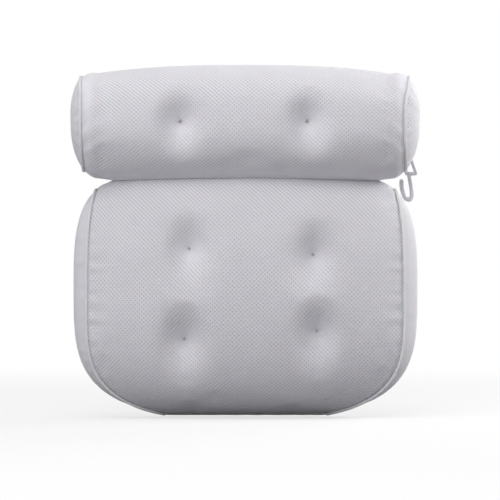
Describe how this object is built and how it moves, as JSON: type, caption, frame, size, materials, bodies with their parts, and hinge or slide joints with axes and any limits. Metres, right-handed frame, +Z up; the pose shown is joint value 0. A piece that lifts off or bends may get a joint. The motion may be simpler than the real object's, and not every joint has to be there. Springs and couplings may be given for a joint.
{
  "type": "bath pillow",
  "caption": "Bath pillow: a neck roll that folds back on a tufted back pad, in white spacer mesh, with suction cups behind and a hanging hook at one end.",
  "frame": {"origin": "middle of the pad's back, on the plane of the suction cup rims, which is the tub wall", "axes": "+X to the right as seen from the front, +Y into the tub wall, +Z up from pad to roll"},
  "size_m": [0.356, 0.1128, 0.3611],
  "materials": {
    "mesh_fabric": "open white spacer mesh",
    "plain_fabric": "plain white knit",
    "welt_fabric": "smooth knit binding",
    "filling": "loose fibre",
    "cup_rubber": "clear soft vinyl",
    "tie_thread": "waxed thread",
    "hook_plastic": "moulded white plastic",
    "loop_cord": "braided cord"
  },
  "bodies": {
    "pad": {"pad_front": "mesh_fabric", "pad_back": "plain_fabric", "pad_gusset_left": "plain_fabric", "pad_gusset_right": "plain_fabric", "pad_flap": "plain_fabric", "pad_welt_left": "welt_fabric", "pad_welt_right": "welt_fabric", "pad_back_welt": "welt_fabric", "pad_filling": "filling", "suction_cup_pad_lower_left": "cup_rubber", "tuft_tie_pad_lower_left": "tie_thread", "suction_cup_pad_lower_right": "cup_rubber", "tuft_tie_pad_lower_right": "tie_thread", "suction_cup_pad_upper_left": "cup_rubber", "tuft_tie_pad_upper_left": "tie_thread", "suction_cup_pad_upper_right": "cup_rubber", "tuft_tie_pad_upper_right": "tie_thread"},
    "roll": {"roll_cover": "mesh_fabric", "roll_end_left": "plain_fabric", "roll_end_right": "plain_fabric", "roll_flap": "plain_fabric", "roll_welt_left": "welt_fabric", "roll_welt_right": "welt_fabric", "roll_filling": "filling", "suction_cup_roll_left": "cup_rubber", "tuft_tie_roll_left": "tie_thread", "suction_cup_roll_right": "cup_rubber", "tuft_tie_roll_right": "tie_thread"},
    "loop": {"hanging_loop": "loop_cord"},
    "hook": {"hook": "hook_plastic"}
  },
  "joints": [
    {"name": "roll_fold", "type": "hinge", "parent": "pad", "child": "roll", "pos_m": [0, -0.0131, 0.1143], "axis": [-1, 0, 0], "range_deg": [0, 100]},
    {"name": "loop_swing", "type": "hinge", "parent": "roll", "child": "loop", "pos_m": [0.166, -0.0152, 0.1596], "axis": [1, 0, 0], "range_deg": [0, 90]},
    {"name": "hook_swing", "type": "hinge", "parent": "loop", "child": "hook", "pos_m": [0.1695, -0.011, 0.1347], "axis": [0, -1, 0], "range_deg": [-10, 100]}
  ]
}
